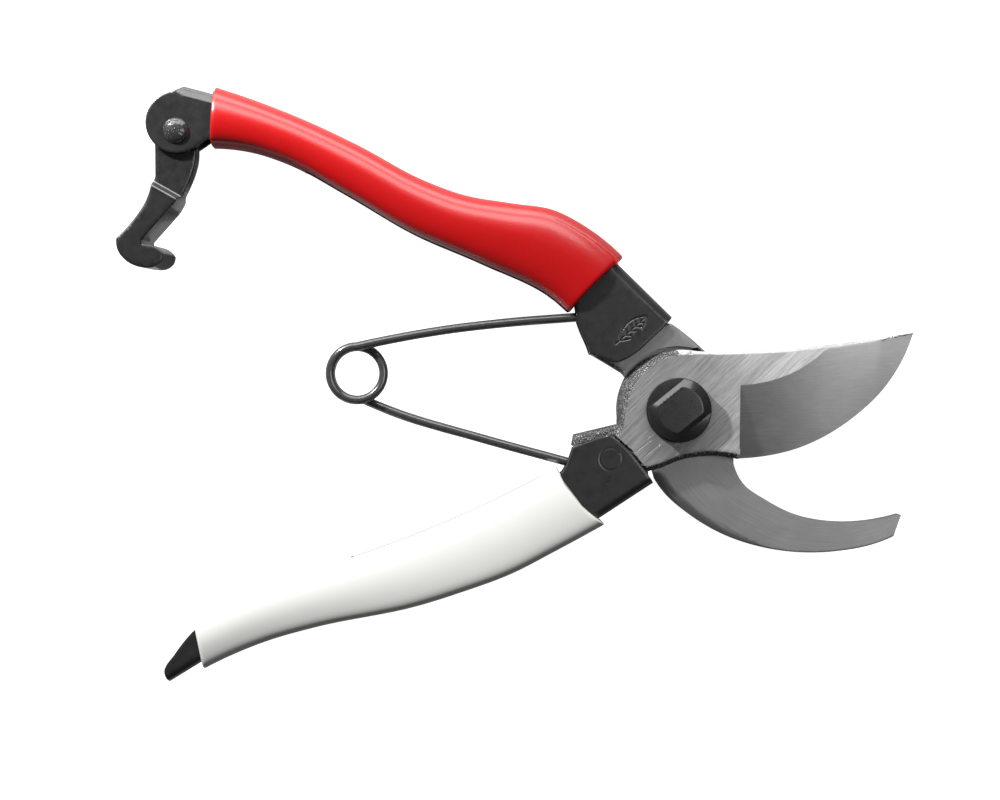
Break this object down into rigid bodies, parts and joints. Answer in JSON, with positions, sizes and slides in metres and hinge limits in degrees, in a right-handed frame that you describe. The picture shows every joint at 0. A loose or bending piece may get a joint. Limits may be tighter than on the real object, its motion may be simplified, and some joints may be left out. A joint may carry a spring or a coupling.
{
  "type": "bypass pruner",
  "caption": "Forged bypass hand pruner, open: hooked counter-blade, curved cutting blade, vinyl-dipped channel handles, coil spring and tail latch.",
  "frame": {"origin": "on the pivot axis, at the end of the pivot bolt, which is the tool's lowest face when it lies flat", "axes": "+Z along the pivot axis towards the bolt's head; the blades point to +X and the two handles to -X"},
  "size_m": [0.1863, 0.1392, 0.0194],
  "materials": {
    "ground_steel": "ground and brushed forged steel",
    "satin_steel": "satin forged steel",
    "black_oxide_steel": "satin black oxide on steel",
    "spring_steel": "dark drawn wire",
    "red_vinyl": "glossy dipped vinyl",
    "white_vinyl": "glossy dipped vinyl"
  },
  "bodies": {
    "blade_half": {"cutting_blade": "ground_steel", "white_handle": "black_oxide_steel", "white_grip": "white_vinyl", "white_neck_rivet": "black_oxide_steel", "white_tang_rivet": "black_oxide_steel", "pivot_bolt": "black_oxide_steel", "spring_washer": "black_oxide_steel", "pivot_nut": "black_oxide_steel"},
    "hook_half": {"counter_blade": "satin_steel", "red_handle": "black_oxide_steel", "red_grip": "red_vinyl", "red_neck_rivet": "black_oxide_steel", "red_tang_rivet": "black_oxide_steel"},
    "latch_pin": {"latch_rivet": "black_oxide_steel"},
    "latch": {"latch": "black_oxide_steel"},
    "spring_lower": {"spring_lower": "spring_steel"},
    "spring_upper": {"spring_upper": "spring_steel"}
  },
  "joints": [
    {"name": "main_pivot", "type": "hinge", "parent": "blade_half", "child": "hook_half", "pos_m": [0, 0, 0.011], "axis": [0, 0, 1], "range_deg": [0, 45.5], "stiffness_Nm_per_rad": 1.5, "springref_deg": -20.05},
    {"name": "latch_cam", "type": "hinge", "parent": "hook_half", "child": "latch_pin", "pos_m": [-0.1174, 0.0647, 0.011], "axis": [0, 0, 1], "range_deg": [-24.6, 0.5]},
    {"name": "latch_pivot", "type": "hinge", "parent": "latch_pin", "child": "latch", "pos_m": [-0.1174, 0.0647, 0.011], "axis": [0, 0, 1], "range_deg": [-70, 14]},
    {"name": "spring_foot", "type": "hinge", "parent": "blade_half", "child": "spring_lower", "pos_m": [-0.0258, -0.0122, 0.011], "axis": [0, 0, 1], "range_deg": [-0.5, 37.2]},
    {"name": "spring_coil", "type": "hinge", "parent": "spring_lower", "child": "spring_upper", "pos_m": [-0.0752, 0.0082, 0.011], "axis": [0, 0, 1], "range_deg": [-26.5, 0.5]}
  ],
  "couplings": [
    {"joint": "latch_cam", "follows": "main_pivot", "ratio": -0.53},
    {"joint": "spring_foot", "follows": "main_pivot", "ratio": 0.805},
    {"joint": "spring_coil", "follows": "main_pivot", "ratio": -0.57}
  ]
}
